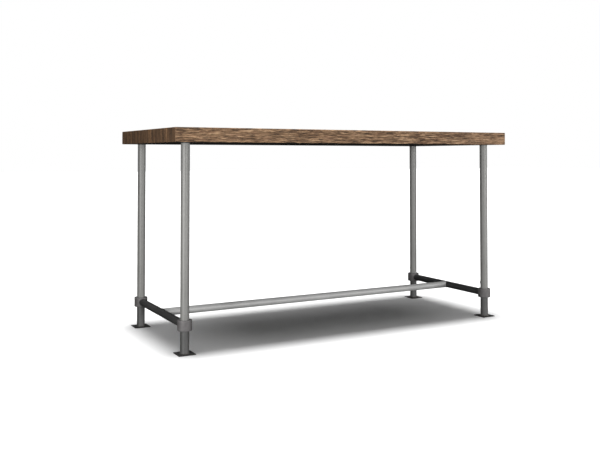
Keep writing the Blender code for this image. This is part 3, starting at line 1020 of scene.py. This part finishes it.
def make_lock(corner):
    """The boss on the leg tube and the lock screw in it, which rides on its own body."""
    screw = f"lock_screw_{corner}"
    low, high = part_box(screw)
    radius = (high.z - low.z) / 2
    make_boss(corner, radius)
    tip = Vector((centre_of(f"leg_tube_{corner}").x, low.y, centre_of(f"lock_boss_{corner}").z))
    turn = Matrix.Rotation(-math.pi / 2, 4, "X")
    make_set_screw(screw, screw, radius, high.y - low.y, tip, turn)


def make_side_stretcher(side):
    """The rail between two collars."""
    node = f"side_stretcher_{side}"
    low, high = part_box(node)
    middle = (low + high) / 2
    half = (high.y - low.y) / 2
    form = tube_form(RAIL_RADIUS, RAIL_WALL, -half, half)
    place = Matrix.Translation(middle) @ Matrix.Rotation(math.pi / 2, 4, "X")
    # the side rail wears the darker, painted-shade copy of the rail steel
    return piece(node + "_drawn", form, SIDE_RAIL_SHADED, "base", [node], place)


def make_long_stretcher():
    """The long rail, coped round the side rails, with a weld bead at each end."""
    node = "long_stretcher"
    side_x = centre_of("side_stretcher_right").x
    form = tube_form(RAIL_RADIUS, RAIL_WALL, -side_x, side_x, rows=60)
    cope = RAIL_RADIUS + GAP
    cutters = []
    for end in (-side_x, side_x):
        cutters.append(cylinder_form(cope, (0, -CUTTER_REACH, end), (0, CUTTER_REACH, end), ROUND))
    form = carve(form, cutters)
    place = Matrix.Translation((0, 0, RAIL_LEVEL)) @ Matrix.Rotation(math.pi / 2, 4, "Y")
    # the long rail wears the lighter, painted-light copy of the rail steel
    rail = piece(node + "_coped", form, LONG_RAIL_LIT, "base", [node], place)
    for side, sign in (("left", -1), ("right", 1)):
        path = []
        for across, up in circle(RAIL_RADIUS, BEAD_POINTS):
            back = math.sqrt(cope**2 - up**2)
            path.append(Vector((sign * (side_x - back), across, RAIL_LEVEL + up)))
        bead = bead_form(path, RAIL_WELD, 30)
        piece(f"rail_weld_{side}", bead, WELD_METAL, "base")
    return rail


def finish_cad_nodes():
    """The guides inside the legs keep their CAD shapes and get their finished material."""
    for corner in CORNERS:
        for kind in ("guide_bush", "guide_cap"):
            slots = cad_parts[f"{kind}_{corner}"].data.materials
            slots.clear()
            slots.append(NYLON)


def make_desk():
    """Every piece of the desk. Returns the three rails."""
    make_top()
    for corner in CORNERS:
        make_tube(f"leg_tube_{corner}", LEG_RADIUS, LEG_WALL, "desk_top", LIGHT_STEEL, corner)
        make_tube(f"foot_tube_{corner}", LEG_RADIUS, LEG_WALL, "base", DARK_STEEL, corner)
        make_tube(f"guide_post_{corner}", POST_RADIUS, POST_WALL, "base", POST_STEEL, corner)
        make_base_plate(corner)
        make_leg_flange(corner)
        make_collar(corner)
        make_lock(corner)
    finish_cad_nodes()
    return [make_side_stretcher("left"), make_side_stretcher("right"), make_long_stretcher()]


# ---------- The studio ----------


def make_camera():
    """The camera, a little lower than the top, with its frame shifted down to take in the feet."""
    data = bpy.data.cameras.new("camera")
    data.lens = CAMERA_LENS
    data.sensor_width = 36.0
    data.shift_y = CAMERA_SHIFT
    data.clip_end = 200.0
    camera = bpy.data.objects.new("camera", data)
    camera.location = CAMERA_PLACE
    camera.rotation_euler = (math.radians(90 + CAMERA_PITCH), 0, math.radians(-CAMERA_YAW))
    bpy.context.scene.collection.objects.link(camera)
    bpy.context.scene.camera = camera


def make_floor():
    """A plain white floor. It shows and takes shadows, but throws no light back."""
    form = bmesh.new()
    bmesh.ops.create_grid(form, x_segments=1, y_segments=1, size=FLOOR_SIZE / 2)
    mesh = bpy.data.meshes.new("floor")
    form.to_mesh(mesh)
    form.free()
    tree = Tree("floor_white")
    normal = tree.nodes.new("ShaderNodeNewGeometry").outputs["Normal"]
    tree.finish((FLOOR_WHITE, FLOOR_WHITE, FLOOR_WHITE, 1.0), 0.9, 0.0, normal, 0.0)
    mesh.materials.append(tree.material)
    floor = bpy.data.objects.new("floor", mesh)
    floor.location = (0, 0, -FLOOR_DROP)
    floor.visible_diffuse = False
    floor.visible_glossy = False
    bpy.context.scene.collection.objects.link(floor)
    return floor


def area_light(name, place, target, size, power, glossy, skipped):
    """A soft box that looks at a target. It isn't seen itself, and it skips one collection."""
    data = bpy.data.lights.new(name, "AREA")
    data.shape = "RECTANGLE"
    data.size, data.size_y = size
    data.energy = power
    light = bpy.data.objects.new(name, data)
    light.location = place
    light.rotation_euler = (Vector(target) - Vector(place)).to_track_quat("-Z", "Y").to_euler()
    light.visible_camera = False
    light.visible_glossy = glossy
    bpy.context.scene.collection.objects.link(light)
    light.light_linking.receiver_collection = skipped


def sun_light(name, strength, angle, lean, shadowless):
    """Light from above, leaning to the right. A wide angle softens its shadow; rails cast none."""
    data = bpy.data.lights.new(name, "SUN")
    data.energy = strength
    data.angle = math.radians(angle)
    light = bpy.data.objects.new(name, data)
    light.location = (0, 0, SUN_HEIGHT)
    light.rotation_euler.y = -math.radians(lean)
    light.light_linking.blocker_collection = shadowless
    bpy.context.scene.collection.objects.link(light)


def left_out(name, objects):
    """A collection of what a light leaves out."""
    collection = bpy.data.collections.new(name)
    for obj in objects:
        collection.objects.link(obj)
    for member in collection.collection_objects:
        member.light_linking.link_state = "EXCLUDE"
    return collection


def make_lights(floor, rails):
    """Two lights overhead for the floor and the top, and soft boxes for the desk alone."""
    shadowless = left_out("rails_only", rails)
    for sun in SUNS:
        sun_light(*sun, shadowless)
    skipped = left_out("floor_only", [floor])
    for box in SOFT_BOXES:
        area_light(*box, skipped)


def make_world():
    """White behind the desk, with a weak grey light that comes from above the floor."""
    world = bpy.data.worlds.new("studio")
    bpy.context.scene.world = world
    world.use_nodes = True
    nodes, links = world.node_tree.nodes, world.node_tree.links
    nodes.clear()
    coord = nodes.new("ShaderNodeTexCoord")
    parts = nodes.new("ShaderNodeSeparateXYZ")
    links.new(coord.outputs["Generated"], parts.inputs[0])
    level = nodes.new("ShaderNodeMapRange")
    level.inputs["From Min"].default_value = -0.15
    level.inputs["From Max"].default_value = 0.35
    level.inputs["To Min"].default_value = 0.0
    level.inputs["To Max"].default_value = WORLD_LIGHT
    links.new(parts.outputs["Z"], level.inputs["Value"])
    dim = nodes.new("ShaderNodeBackground")
    dim.inputs["Color"].default_value = (1, 1, 1, 1)
    links.new(level.outputs["Result"], dim.inputs["Strength"])
    white = nodes.new("ShaderNodeBackground")
    white.inputs["Color"].default_value = (1, 1, 1, 1)
    path = nodes.new("ShaderNodeLightPath")
    mix = nodes.new("ShaderNodeMixShader")
    links.new(path.outputs["Is Camera Ray"], mix.inputs["Fac"])
    links.new(dim.outputs[0], mix.inputs[1])
    links.new(white.outputs[0], mix.inputs[2])
    output = nodes.new("ShaderNodeOutputWorld")
    links.new(mix.outputs[0], output.inputs["Surface"])


make_camera()
rails = make_desk()
make_lights(make_floor(), rails)
make_world()
bpy.context.scene.view_settings.view_transform = "Standard"
